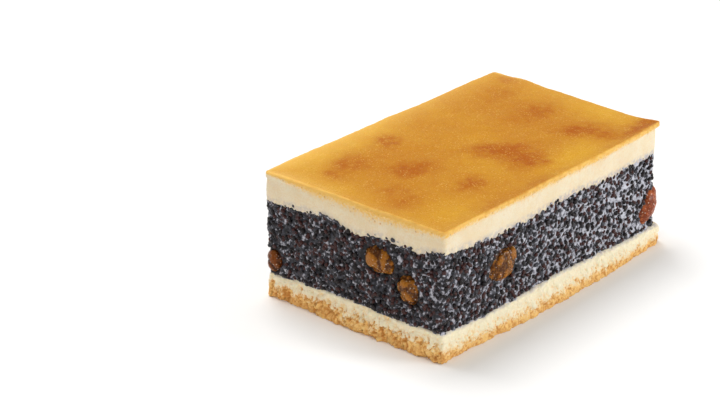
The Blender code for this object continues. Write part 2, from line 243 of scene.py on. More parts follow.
# How far the baked skin reaches down from the rim.
SKIN_REACH = RoundLine.in_mm(
    (2.6, 2.1, 2.6, 2.8, 2.7, 2.3),
    (2.8, 2.6, 3.0, 2.6),
    (2.4, 3.0, 2.8, 3.0, 2.2),
    (0.9, 2.3, 3.4, 4.0, 4.1, 4.0),
)

# How far the rim stands over its usual height.
RIM_RISE = RoundLine.in_mm(
    (0.0, 0.10, 0.0, -0.10, 0.05, 0.10, 0.0, -0.05, 0.05, -0.05),
    (0.0, -0.35, -0.25, -0.15, -0.05, 0.0, 0.10, 0.15, 0.60, 0.15),
    (0.0, 0.25, 0.10, -0.15, 0.0, 0.20, 0.05, -0.10, 0.10, 0.05),
    (0.0, 0.05, -0.05, 0.0, 0.10, 0.0, -0.10, 0.0, 0.05, 0.0),
)

# How pale the skin is beside the rim, from 0 to 1: partly paler skin, partly painted sheen.
RIM_PALENESS_AND_SHEEN = RoundLine(
    (
        (0.20, 0.10, 0.05, 0.05, 0.10, 0.10),
        (0.15, 0.35, 0.35, 0.40),
        (0.50, 0.65, 0.75, 0.85, 0.90),
        (0.85, 0.55, 0.25, 0.15),
    )
)

# How pale the paste between the seeds is, from 0 to 1: partly its own pale smear, partly painted light,
# palest toward the right corner and darkest on the shaded left short face.
PASTE_PALENESS_AND_LIGHT = RoundLine(
    (
        (0.17, 0.27, 0.37, 0.46, 0.56, 0.64),
        (0.60, 0.44, 0.30, 0.20),
        (0.26, 0.46, 0.60, 0.40, 0.20),
        (0.12, 0.08, 0.06, 0.06),
    )
)


def object_of(
    name: str, points: np.ndarray, faces: np.ndarray, fields: Fields, material: bpy.types.Material
) -> bpy.types.Object:
    """Makes a smooth mesh object that rides with the slice.

    Args:
        name: of the piece.
        points: the vertices, one row each.
        faces: vertex numbers, one row a face.
        fields: named numbers, one for each vertex, for the material to read.
        material: the finish.

    Returns:
        The object.
    """
    mesh = bpy.data.meshes.new(name)
    mesh.from_pydata(points.tolist(), [], faces.tolist())
    for field_name, values in fields.items():
        layer = mesh.attributes.new(field_name, "FLOAT", "POINT")
        layer.data.foreach_set("value", np.ascontiguousarray(values, dtype=np.float32))
    mesh.polygons.foreach_set("use_smooth", [True] * len(mesh.polygons))
    mesh.materials.append(material)
    mesh.update()
    piece = bpy.data.objects.new(name, mesh)
    bpy.context.scene.collection.objects.link(piece)
    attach(piece, BODY)
    return piece


def ring_stack(
    name: str,
    rings: np.ndarray,
    hub_heights: tuple[float, float],
    fields: Fields,
    material: bpy.types.Material,
) -> bpy.types.Object:
    """Closes a stack of rings into one solid piece.

    Args:
        name: of the piece.
        rings: places of rings by points by X, Y and Z, from the underside up and over the top.
        hub_heights: of the middles of the underside and of the top.
        fields: named numbers, rings by points.
        material: the finish.

    Returns:
        The object.
    """
    rows, count = rings.shape[:2]
    points = np.concatenate((rings.reshape(-1, 3), [(0, 0, height) for height in hub_heights]))
    index = np.arange(rows * count).reshape(rows, count)
    ahead = np.roll(index, -1, axis=1)
    bands = np.stack((index[:-1], ahead[:-1], ahead[1:], index[1:]), axis=-1).reshape(-1, 4)
    low, high = rows * count, rows * count + 1
    quads = bands.tolist()
    quads += [[b, a, low] for a, b in zip(index[0].tolist(), ahead[0].tolist())]
    quads += [[a, b, high] for a, b in zip(index[-1].tolist(), ahead[-1].tolist())]
    values = {}
    for key, grid in fields.items():
        values[key] = np.concatenate((grid.reshape(-1), [grid[0].mean(), grid[-1].mean()]))
    return object_of(name, points, np.array(quads, dtype=object), values, material)


class Recipe:
    """Builds one node material, step by step."""

    def __init__(self, name: str) -> None:
        """Starts a material with its one Principled shader."""
        self.material = bpy.data.materials.new(name)
        self.material.use_nodes = True
        self.tree = self.material.node_tree
        self.shader = self.tree.nodes["Principled BSDF"]

    def node(self, kind: str, inputs: dict[str, object], **settings: object) -> bpy.types.Node:
        """Adds a node.

        Args:
            kind: Blender's name for it.
            inputs: a value or another node's output for each of its inputs.
            settings: its own properties.

        Returns:
            The node.
        """
        made = self.tree.nodes.new(kind)
        for key, value in settings.items():
            setattr(made, key, value)
        for key, value in inputs.items():
            self.feed(made.inputs[key], value)
        return made

    def feed(self, socket: bpy.types.NodeSocket, value: object) -> None:
        """Links an output to a socket, or sets the socket's value."""
        if isinstance(value, bpy.types.NodeSocket):
            self.tree.links.new(value, socket)
        else:
            socket.default_value = value

    def places(self) -> bpy.types.NodeSocket:
        """The place on the object, in metres."""
        return self.node("ShaderNodeTexCoord", {}).outputs["Object"]

    def field(self, name: str) -> bpy.types.NodeSocket:
        """A number that the mesh carries."""
        return self.node("ShaderNodeAttribute", {}, attribute_name=name).outputs["Fac"]

    def grain(self, size: float, detail: float = 3.0, roughness: float = 0.55) -> bpy.types.NodeSocket:
        """Noise from 0 to 1 with lumps of a given size in metres."""
        inputs = {"Vector": self.places(), "Scale": 1 / size, "Detail": detail, "Roughness": roughness}
        return self.node("ShaderNodeTexNoise", inputs).outputs["Fac"]

    def spots(self, size: float) -> bpy.types.NodeSocket:
        """The distance from the nearest of many scattered points, in sizes."""
        inputs = {"Vector": self.places(), "Scale": 1 / size}
        return self.node("ShaderNodeTexVoronoi", inputs).outputs["Distance"]

    def arithmetic(self, operation: str, first: object, second: object) -> bpy.types.NodeSocket:
        """One step of arithmetic."""
        made = self.node("ShaderNodeMath", {}, operation=operation)
        self.feed(made.inputs[0], first)
        self.feed(made.inputs[1], second)
        return made.outputs[0]

    def add(self, first: object, second: object) -> bpy.types.NodeSocket:
        """The sum of two numbers."""
        return self.arithmetic("ADD", first, second)

    def times(self, first: object, second: object) -> bpy.types.NodeSocket:
        """The product of two numbers."""
        return self.arithmetic("MULTIPLY", first, second)

    def stretch(
        self, value: object, low: float, high: float, to_low: float = 0.0, to_high: float = 1.0
    ) -> bpy.types.NodeSocket:
        """Carries the range low to high smoothly to another one, and holds it there."""
        inputs = {"Value": value, "From Min": low, "From Max": high, "To Min": to_low, "To Max": to_high}
        return self.node("ShaderNodeMapRange", inputs, interpolation_type="SMOOTHSTEP").outputs["Result"]

    def sway(self, grain: object, reach: float) -> bpy.types.NodeSocket:
        """Carries the middle of a grain's range to one from minus the reach to the reach."""
        return self.stretch(grain, 0.3, 0.7, -reach, reach)

    def mix(self, share: object, first: object, second: object) -> bpy.types.NodeSocket:
        """A mix of two colours."""
        first_socket, second_socket, result_socket = 6, 7, 2  # the node has others for numbers and vectors
        made = self.node("ShaderNodeMix", {}, data_type="RGBA")
        self.feed(made.inputs["Factor"], share)
        self.feed(made.inputs[first_socket], first)
        self.feed(made.inputs[second_socket], second)
        return made.outputs[result_socket]

    def bump(self, *heights: tuple[object, float]) -> None:
        """Sets the shader's bump.

        Args:
            heights: pairs of a height from 0 to 1 and its depth in metres.
        """
        normal = None
        for height, depth in heights:
            inputs = {"Height": height, "Distance": depth, "Strength": 1.0}
            if normal is not None:
                inputs["Normal"] = normal
            normal = self.node("ShaderNodeBump", inputs).outputs["Normal"]
        self.feed(self.shader.inputs["Normal"], normal)

    def finish(self, colour: object, roughness: object, **constants: float | tuple) -> bpy.types.Material:
        """Sets the shader's inputs.

        Args:
            colour: the base colour.
            roughness: from 0 to 1.
            constants: other inputs, named with underscores for spaces.

        Returns:
            The material.
        """
        self.feed(self.shader.inputs["Base Color"], colour)
        self.feed(self.shader.inputs["Roughness"], roughness)
        for key, value in constants.items():
            self.shader.inputs[key.replace("_", " ")].default_value = value
        return self.material


@dataclass(frozen=True)
class ShortcrustFinish:
    """Pale crumbly pastry, toasted where its mesh says so, with painted light and shade on its crumbs and in
    their gaps.
    """

    pale: Colour = (1.0, 0.885, 0.64, 1.0)
    toasted: Colour = (1.0, 0.63, 0.225, 1.0)
    dark: Colour = (0.70, 0.315, 0.075, 1.0)
    smear: Colour = (0.60, 0.555, 0.55, 1.0)
    grain_size: float = 0.5 * MM

    def material(self) -> bpy.types.Material:
        """The pastry's material."""
        recipe = Recipe("shortcrust")
        fine = recipe.grain(self.grain_size, 4.0)
        # This field holds the real toasting, strongest low on the wall, and painted light and shade: raised
        # crumbs paler, sunken ones darker.
        toast_and_shade = recipe.add(recipe.field("toast_and_shade"), recipe.sway(fine, 0.22))
        crust = recipe.mix(recipe.stretch(toast_and_shade, 0.1, 0.9), self.pale, self.toasted)
        crust = recipe.mix(recipe.stretch(toast_and_shade, 0.9, 1.3, 0.0, 0.42), crust, self.dark)
        # Painted shade: the crumbs' gaps, fissures and pits darken toward a deep brown, more where the pastry
        # is toasted.
        hollow_shade = recipe.stretch(recipe.field("hollow_shade"), 0.22, 0.85, 0.0, 0.95)
        depth = recipe.times(hollow_shade, recipe.stretch(toast_and_shade, 0.0, 0.6, 0.5, 1.0))
        gap = recipe.mix(recipe.stretch(toast_and_shade, 0.1, 0.7), self.toasted, self.dark)
        colour = recipe.mix(depth, crust, gap)
        smeared = recipe.field("smear")
        smear = recipe.times(smeared, recipe.stretch(recipe.grain(1.2 * MM), 0.35, 0.6, 0.3, 1.0))
        colour = recipe.mix(smear, colour, self.smear)
        recipe.bump((fine, 0.40 * MM), (recipe.grain(0.2 * MM, 2.0), 0.08 * MM))
        return recipe.finish(
            colour,
            recipe.stretch(fine, 0.3, 0.7, 0.72, 0.9),
            Specular_IOR_Level=0.3,
            Subsurface_Weight=0.12,
            Subsurface_Radius=(1.0, 0.6, 0.3),
            Subsurface_Scale=1.2 * MM,
        )


@dataclass(frozen=True)
class PasteFinish:
    """The moist blue-grey paste between the poppy seeds."""

    # Painted shade for the paste's pits and the grooves round the raisins.
    deep: Colour = (0.004, 0.004, 0.006, 1.0)
    middle: Colour = (0.042, 0.043, 0.056, 1.0)
    high: Colour = (0.345, 0.345, 0.395, 1.0)
    # Painted glint on the highest, palest paste, partly the paste's own white smear.
    frost_and_glint: Colour = (0.66, 0.665, 0.73, 1.0)
    maroon: Colour = (0.060, 0.022, 0.020, 1.0)

    def material(self) -> bpy.types.Material:
        """The paste's material."""
        recipe = Recipe("poppy seed paste")
        fine = recipe.grain(0.8 * MM, 3.0)
        height = recipe.add(recipe.field("rise"), recipe.sway(fine, 0.15))
        # Painted shade: the lower the paste lies, the nearer it turns to black.
        dark = recipe.mix(recipe.stretch(height, 0.1, 0.7), self.deep, self.middle)
        stained = recipe.mix(recipe.stretch(recipe.grain(1.8 * MM, 2.0), 0.56, 0.7), dark, self.maroon)
        clouding = recipe.sway(recipe.grain(2.4 * MM, 2.0), 0.26)
        smears = recipe.sway(recipe.grain(0.7 * MM, 2.0), 0.38)
        # wet adds up the paste's height, its random smears and its paleness round the slice: raised lumps are
        # painted paler.
        wet = recipe.add(recipe.add(height, clouding), recipe.add(smears, recipe.field("pale")))
        streaks = recipe.stretch(wet, 0.62, 1.16)
        colour = recipe.mix(streaks, stained, self.high)
        # Painted glints: the highest and palest paste turns almost white, partly its own white smear.
        colour = recipe.mix(recipe.stretch(wet, 0.98, 1.7, 0.0, 0.75), colour, self.frost_and_glint)
        recipe.bump((fine, 0.08 * MM), (recipe.grain(0.25 * MM, 2.0), 0.025 * MM))
        return recipe.finish(colour, recipe.stretch(fine, 0.3, 0.7, 0.3, 0.6), Specular_IOR_Level=0.25)


class SeedKind(Enum):
    """The colours of poppy seed in the mix: a name, a colour and its share of the seeds."""

    BLACK = ("black", (0.006, 0.003, 0.004, 1.0), 0.48)
    MAROON = ("maroon", (0.045, 0.011, 0.009, 1.0), 0.36)
    SLATE = ("slate", (0.045, 0.045, 0.056, 1.0), 0.16)

    def __init__(self, label: str, colour: Colour, share: float) -> None:
        """Names the three facts."""
        self.label = label
        self.colour = colour
        self.share = share


@dataclass(frozen=True)
class SeedFinish:
    """A poppy seed's netted, faintly shiny coat."""

    kind: SeedKind
    bloom: Colour = (0.20, 0.19, 0.22, 1.0)

    def material(self) -> bpy.types.Material:
        """The seeds' material."""
        recipe = Recipe(f"{self.kind.label} poppy seed")
        net = recipe.spots(0.16 * MM)
        dusting = recipe.stretch(recipe.grain(0.7 * MM, 2.0), 0.5, 0.8, 0.0, 0.3)
        tint = recipe.times(dusting, recipe.field("tint"))
        recipe.bump((net, 0.05 * MM))
        return recipe.finish(
            recipe.mix(tint, self.kind.colour, self.bloom),
            recipe.stretch(net, 0.1, 0.6, 0.38, 0.24),
            Specular_IOR_Level=0.32,
        )


@dataclass(frozen=True)
class CustardFinish:
    """Pale cream custard that turns to a golden baked skin with caramel spots where its mesh says so."""

    cream: Colour = (0.815, 0.715, 0.535, 1.0)
    cream_shade: Colour = (0.775, 0.63, 0.415, 1.0)
    golden: Colour = (0.468, 0.173, 0.014, 1.0)
    yellow: Colour = (0.64, 0.335, 0.024, 1.0)
    caramel: Colour = (0.39, 0.100, 0.004, 1.0)
    edge: Colour = (0.85, 0.53, 0.145, 1.0)
    # Painted glints on the baked skin.
    glint_highlight: Colour = (0.86, 0.56, 0.17, 1.0)
    stain: Colour = (0.47, 0.43, 0.45, 1.0)

    def material(self) -> bpy.types.Material:
        """The topping's material."""
        recipe = Recipe("custard and baked skin")
        fine = recipe.grain(0.45 * MM, 3.0)
        shade = recipe.add(recipe.grain(5 * MM, 3.0), recipe.sway(fine, 0.2))
        cream = recipe.mix(recipe.stretch(shade, 0.2, 0.8), self.cream, self.cream_shade)
        stain = recipe.times(recipe.field("stain"), recipe.stretch(recipe.grain(1.2 * MM), 0.35, 0.65))
        cream = recipe.mix(stain, cream, self.stain)
        mottle = recipe.sway(recipe.grain(3 * MM, 2.0), 0.07)
        golden = recipe.mix(recipe.add(recipe.field("yellow"), mottle), self.golden, self.yellow)
        spots = recipe.add(recipe.field("caramel"), recipe.sway(fine, 0.12))
        golden = recipe.mix(recipe.stretch(spots, 0.0, 1.0), golden, self.caramel)
        # Painted light: the rim field paints a highlight line along the rim, a sheen beside it and a lighter
        # gold on the side walls, partly the skin's own paler edge.
        golden = recipe.mix(recipe.field("rim"), golden, self.edge)
        # Painted glints: small lighter dots over the frothy parts of the skin.
        dots = recipe.stretch(recipe.spots(0.85 * MM), 0.38, 0.12, 0.0, 0.38)
        foamy = recipe.stretch(recipe.grain(3.5 * MM, 2.0), 0.36, 0.64, 0.25, 1.0)
        golden = recipe.mix(recipe.times(dots, foamy), golden, self.glint_highlight)
        ragged = recipe.sway(recipe.grain(0.7 * MM, 3.0), 0.22)
        baked = recipe.add(recipe.field("bake"), ragged)
        band = recipe.mix(recipe.stretch(baked, 0.0, 0.95), cream, self.edge)
        colour = recipe.mix(recipe.stretch(baked, 0.58, 0.94), band, golden)
        speck = recipe.times(recipe.stretch(recipe.spots(1.5 * MM), 0.32, 0.05), recipe.field("speck"))
        colour = recipe.mix(speck, colour, self.caramel)
        finest = recipe.grain(0.28 * MM, 1.0)
        recipe.bump((recipe.grain(2.2 * MM, 2.0), 0.05 * MM), (fine, 0.08 * MM), (finest, 0.03 * MM))
        return recipe.finish(
            colour,
            recipe.stretch(fine, 0.3, 0.7, 0.24, 0.40),
            Specular_IOR_Level=0.06,
            Specular_Tint=(1.0, 0.8, 0.45, 1.0),
            Subsurface_Weight=0.2,
            Subsurface_Radius=(1.0, 0.55, 0.2),
            Subsurface_Scale=1.5 * MM,
        )


@dataclass(frozen=True)
class RaisinFinish:
    """Amber wrinkled raisin skin, wet and a little translucent."""

    name: str
    flesh: Colour
    # The colour of the painted shade in the creases.
    crease: Colour
    # Pale sugar specks, which also stand in as painted glints.
    sugar_and_glint: Colour = (0.72, 0.58, 0.46, 1.0)

    def material(self) -> bpy.types.Material:
        """The raisin's material."""
        recipe = Recipe(self.name)
        fine = recipe.grain(0.6 * MM, 3.0)
        height = recipe.add(recipe.field("rise"), recipe.sway(fine, 0.2))
        # Painted shade: the skin darkens into the creases of its folds.
        skin = recipe.mix(recipe.stretch(height, 0.25, 1.1), self.crease, self.flesh)
        # Sugar specks on the sticky parts, which also stand in as painted glints.
        sparkle = recipe.stretch(recipe.spots(0.95 * MM), 0.30, 0.1, 0.0, 0.75)
        sticky = recipe.stretch(recipe.grain(3 * MM, 2.0), 0.34, 0.56)
        recipe.bump((fine, 0.12 * MM), (recipe.grain(1.3 * MM, 2.0), 0.35 * MM))
        return recipe.finish(
            recipe.mix(recipe.times(sparkle, sticky), skin, self.sugar_and_glint),
            recipe.stretch(fine, 0.3, 0.7, 0.2, 0.36),
            Specular_IOR_Level=0.10,
            Coat_Weight=0.14,
            Coat_Roughness=0.1,
            Subsurface_Weight=0.3,
            Subsurface_Radius=(1.0, 0.35, 0.06),
            Subsurface_Scale=2.0 * MM,
        )


# Each raisin's flesh colour, then the painted shade in its creases.
AMBER_RAISIN = RaisinFinish("amber raisin", (0.35, 0.130, 0.011, 1.0), (0.070, 0.019, 0.002, 1.0))
BROWN_RAISIN = RaisinFinish("brown raisin", (0.20, 0.054, 0.006, 1.0), (0.040, 0.009, 0.002, 1.0))
RED_RAISIN = RaisinFinish("red raisin", (0.50, 0.135, 0.045, 1.0), (0.20, 0.040, 0.012, 1.0))


@dataclass(frozen=True)
class FloorFinish:
    """A plain white studio floor."""

    white: Colour = (0.955, 0.95, 0.945, 1.0)

    def material(self) -> bpy.types.Material:
        """The floor's material."""
        recipe = Recipe("studio floor")
        return recipe.finish(self.white, 0.9, Specular_IOR_Level=0.1)


@dataclass(frozen=True)
class Raisin:
    """A raisin in a cut face of the filling."""

    node: str
    face: int  # the way of the face's first corner
    along: float  # its place on that face, 0 to 1
    height: float
    length: float
    width: float
    lean: float  # of its length, in degrees
    finish: RaisinFinish = AMBER_RAISIN
    thickness: float = 6.8 * MM
    proud: float = 1.2 * MM
    detail: int = 5  # subdivisions of its mesh
    fold_size: float = 4.4 * MM
    fold_depth: float = 0.10  # as a share of its radius

    def frame(self) -> Matrix:
        """The matrix that carries its own axes (length, thickness, width) to its place in the face."""
        corners = FILLING_FOOT.blended(FILLING_HEAD, 0.5).corners()
        start, end = Vector((*corners[self.face], 0)), Vector((*corners[(self.face + 1) % 4], 0))
        direction = (end - start).normalized()
        normal = Vector((direction.y, -direction.x, 0.0))
        middle = start.lerp(end, self.along) + normal * (self.proud - self.thickness / 2)
        middle.z = self.height
        axes = Matrix((direction, -normal, Vector((0, 0, 1)))).transposed().to_4x4()
        return Matrix.Translation(middle) @ axes @ Matrix.Rotation(-math.radians(self.lean), 4, "Y")

    def reach(self, points: np.ndarray) -> np.ndarray:
        """How far each place is from the raisin's middle across the face, 1 at its outline."""
        matrix = np.array(self.frame().inverted())
        local = points @ matrix[:3, :3].T + matrix[:3, 3]
        across = (2 * local[..., 0] / self.length) ** 2 + (2 * local[..., 2] / self.width) ** 2
        return np.sqrt(across + (2 * local[..., 1] / (2.2 * self.thickness)) ** 2)

    def build(self) -> bpy.types.Object:
        """Makes the wrinkled raisin, which stands for its solid.

        Returns:
            The piece.
        """
        ball = SphereMesh.of(self.detail)
        seed = 11.0 * self.along + 3.0 * self.face
        size = np.array((self.length / 2, self.thickness / 2, self.width / 2))
        shape = ball.points * size
        broad = clouds(shape, 5.0 * MM, 1, seed)
        folds = 2.4 * np.abs(clouds(shape, self.fold_size, 2, seed + 5)) - 0.7
        small = 1.8 * np.abs(clouds(shape, 0.45 * self.fold_size, 2, seed + 11)) - 0.5
        rise = np.clip(0.7 * folds + 0.3 * small, -1, 1)
        scale = 0.99 + 0.04 * broad + self.fold_depth * (rise - 0.2)
        scale *= 1 - 0.06 * np.clip(ball.points[:, 0], 0, 1)
        matrix = np.array(self.frame())
        places = (shape * scale[:, None]) @ matrix[:3, :3].T + matrix[:3, 3]
        name = self.node.replace("raisin", "wrinkled_raisin")
        # How high the skin stands, which sets the painted shade in its creases.
        fields = {"rise": 0.5 + 0.5 * rise}
        piece = object_of(name, places, ball.faces, fields, self.finish.material())
        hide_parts(self.node)
        LOG.info("%s: %d faces", name, len(ball.faces))
        return piece


@dataclass(frozen=True)
class SphereMesh:
    """An even sphere of radius 1."""

    points: np.ndarray
    faces: np.ndarray

    @classmethod
    def of(cls, subdivisions: int) -> "SphereMesh":
        """Makes a sphere from an icosahedron, each level with four times the faces of the one before."""
        golden = (1 + 5**0.5) / 2
        edge_limit = 1.2  # a little over the icosahedron's edge, for radius 1
        points = [(-1, golden, 0), (1, golden, 0), (-1, -golden, 0), (1, -golden, 0)]
        points += [(z, x, y) for x, y, z in points[:4]] + [(y, z, x) for x, y, z in points[:4]]
        corners = np.array(points, dtype=float)
        corners /= np.linalg.norm(corners[0])
        near = [
            (a, b, c)
            for a in range(12)
            for b in range(a + 1, 12)
            for c in range(b + 1, 12)
            if max(np.linalg.norm(corners[i] - corners[j]) for i, j in ((a, b), (b, c), (a, c))) < edge_limit
        ]
        faces = []
        for a, b, c in near:
            normal = np.cross(corners[b] - corners[a], corners[c] - corners[a])
            faces.append((a, b, c) if np.dot(normal, corners[a]) > 0 else (a, c, b))
        places = [tuple(p) for p in corners]
        for _ in range(subdivisions - 1):
            middles: dict[tuple[int, int], int] = {}
            finer = []
            for face in faces:
                halves = []
                for i, j in ((0, 1), (1, 2), (2, 0)):
                    key = tuple(sorted((face[i], face[j])))
                    if key not in middles:
                        middle = np.add(places[key[0]], places[key[1]])
                        middles[key] = len(places)
                        places.append(tuple(middle / np.linalg.norm(middle)))
                    halves.append(middles[key])
                (a, b, c), (ab, bc, ca) = face, halves
                finer += [(a, ab, ca), (b, bc, ab), (c, ca, bc), (ab, bc, ca)]
            faces = finer
        return cls(np.array(places), np.array(faces))


RAISINS = (
    Raisin("raisin_upper_short_front", 3, 0.650, 24.7 * MM, 12.2 * MM, 9.0 * MM, -6.0),
    Raisin("raisin_lower_short_front", 3, 0.810, 19.0 * MM, 9.8 * MM, 8.0 * MM, 104.0),
    Raisin("raisin_long_front", 0, 0.272, 20.6 * MM, 14.2 * MM, 10.6 * MM, 16.0),
    Raisin("raisin_left_corner", 3, 0.036, 12.1 * MM, 8.4 * MM, 6.8 * MM, 80.0, BROWN_RAISIN, proud=0.9 * MM),
    Raisin(
        "raisin_right_corner",
        0,
        0.982,
        13.7 * MM,
        13.4 * MM,
        8.2 * MM,
        60.0,
        RED_RAISIN,
        proud=1.4 * MM,
        fold_depth=0.05,
    ),
    Raisin("raisin_short_back", 1, 0.585, 22.2 * MM, 11.2 * MM, 8.4 * MM, -24.0),
    Raisin("raisin_first_long_back", 2, 0.300, 18.6 * MM, 12.0 * MM, 8.8 * MM, 12.0),
    Raisin("raisin_second_long_back", 2, 0.690, 23.4 * MM, 10.4 * MM, 8.0 * MM, -35.0),
)


@dataclass(frozen=True)
class ShortcrustBase:
    """The crumbly base: fissured and toasted on the short faces, finer and paler on the long ones."""

    step: float = 0.23 * MM
    rows: int = 42
    setback: float = 0.15 * MM
    belly: float = 0.2 * MM
    foot_tuck: float = 0.12 * MM
    foot_height: float = 0.5 * MM  # that the tuck reaches up to
    shoulder: float = 0.5 * MM
    shoulder_height: float = 0.8 * MM  # that the shoulder reaches down by
    crumb_size: float = 1.15 * MM
    large_crumb_size: tuple[float, float, float] = (2.5 * MM, 2.5 * MM, 3.2 * MM)
    fissure_size: tuple[float, float, float] = (2.2 * MM, 2.2 * MM, 5.5 * MM)
    pit_size: float = 1.7 * MM
    grit_size: float = 0.6 * MM
    swell_size: float = 3.8 * MM
    bend_size: float = 1.6 * MM
    bend: float = 0.45 * MM  # that keeps the crumbs from lying in straight rows
    underside_shares: tuple[float, ...] = (0.55, 0.85, 0.95, 0.975)
    ledge_shares: tuple[float, ...] = (0.996, 0.99, 0.982, 0.97, 0.95)
    ledge_grit: float = 0.16 * MM

    def relief(
        self, points: np.ndarray, share: np.ndarray, short: np.ndarray
    ) -> tuple[np.ndarray, np.ndarray, np.ndarray]:
        """How far the crumbs stand out.

        Args:
            points: places on the smooth wall.
            share: how far up the wall each is, 0 to 1.
            short: 1 on the short faces and 0 on the long ones.

        Returns:
            The height of each place over the wall in metres, how strongly painted shade darkens it in the
            crumbs' gaps, fissures and pits, and a tone of its crumb's own, both 0 to 1.
        """
        low = smooth_step(1.0, 0.5, share)
        shift = np.stack([clouds(points, self.bend_size, 2, s) for s in (1.0, 5.0, 9.0)], axis=-1)
        bent = points + self.bend * shift
        tall = np.abs(clouds(bent, self.fissure_size, 1, 4.0))
        fissure = smooth_step(0.11, 0.0, tall) * short * low
        crumb, border, own = cells(bent, self.crumb_size, 14.0)
        large_crumb, large_border, large_own = cells(bent, self.large_crumb_size, 33.0)
        loose = smooth_step(-0.35, 0.35, clouds(points, 3.0 * MM, 2, 17.0))
        gap = smooth_step(0.26, 0.03, border) * (0.45 + 0.55 * loose)
        large_gap = smooth_step(0.16, 0.02, large_border)
        pit_middle, _, pit_own = cells(bent, self.pit_size, 21.0)
        pit = smooth_step(0.36, 0.12, pit_middle) * (pit_own > 0.72) * (0.3 + 0.7 * low)
        grit = clouds(points, self.grit_size, 2, 3.0)
        rough = 0.58 + 0.42 * low * (0.3 + 0.7 * short)
        height = rough * MM * (0.95 * (0.42 - large_crumb) + 0.65 * (0.4 - crumb) + 0.3 * (own - 0.5))
        height += (0.30 + 0.22 * short) * MM * clouds(points, self.swell_size, 2) + 0.09 * MM * grit
        height -= (0.5 * pit + 0.75 * fissure) * MM
        # Painted shade: how dark the gaps, fissures and pits are painted, more so low on the wall.
        deep = (0.26 + 0.74 * low**2) * (0.66 * gap + 0.5 * large_gap) + 0.9 * fissure + 0.95 * pit
        hollow_shade = np.clip(deep - 0.12 * grit, 0, 1)
        return height, hollow_shade, 0.5 * own + 0.5 * large_own

    def build(self, finish: ShortcrustFinish) -> bpy.types.Object:
        """Makes the base.

        Args:
            finish: of the pastry.

        Returns:
            The piece, which stands for its solid.
        """
        trace = BASE_OUTLINE.trace(self.step)
        share = np.linspace(0, 1, self.rows)[:, None]
        top = BASE_TOP.at(trace.ways)
        count = len(trace.ways)
        wall = np.zeros((self.rows, count, 3))
        wall[..., :2] = trace.places
        wall[..., 2] = share * top
        short = np.broadcast_to(trace.outward[:, 0] ** 2, (self.rows, count))
        height, hollow_shade, tone = self.relief(wall, np.broadcast_to(share, (self.rows, count)), short)
        tuck = self.foot_tuck * np.clip(1 - wall[..., 2] / self.foot_height, 0, 1) ** 2
        shoulder = self.shoulder * np.clip(1 - (top - wall[..., 2]) / self.shoulder_height, 0, 1) ** 2
        out = height - self.setback - tuck - shoulder
        out += self.belly * np.sin(math.pi * share) + FOOT_SPREAD.at(trace.ways) * (1 - share)
        wall[..., :2] += trace.outward * out[..., None]
        under = [wall[0] * (s, s, 1) for s in self.underside_shares]
        ledge = []
        for s in self.ledge_shares:
            ring = wall[-1] * (s, s, 1)
            ring[:, 2] += self.ledge_grit * clouds(ring, 1.2 * MM, 2, 8.0)
            ledge.append(ring)
        rings = np.concatenate((under, wall, ledge))
        rise = rings[..., 2] / top
        patch = clouds(rings, 4.0 * MM, 2, 6.0)
        short_all = np.broadcast_to(trace.outward[:, 0] ** 2, rise.shape)
        pad = ((len(under), len(ledge)), (0, 0))
        toast_and_shade = 1.12 * smooth_step(0.62, 0.04, rise / (1 + 0.25 * short_all))
        toast_and_shade += (0.03 + 0.04 * short_all) * (patch + 1)
        # Painted light and shade: raised crumbs are painted paler and sunken ones darker.
        toast_and_shade -= (0.2 + 0.35 * short_all) * np.pad(height, pad, mode="edge") / MM
        own_tone = np.pad(tone, pad, mode="edge") - 0.5
        toast_and_shade += (0.65 + 0.1 * short_all) * own_tone * smooth_step(0.9, 0.35, rise)
        smear = smooth_step(1.0 * MM, 0.1 * MM, top - rings[..., 2]) * (0.75 - 0.45 * short_all)
        fields = {
            "toast_and_shade": np.clip(toast_and_shade, 0, 1.3),
            "hollow_shade": np.pad(hollow_shade, pad, mode="edge"),
            "smear": smear,
        }
        heights = 0.0, float(top.mean())
        piece = ring_stack("crumbly_shortcrust_base", rings, heights, fields, finish.material())
        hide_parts("shortcrust_base")
        LOG.info("base: %d faces", len(piece.data.polygons))
        return piece


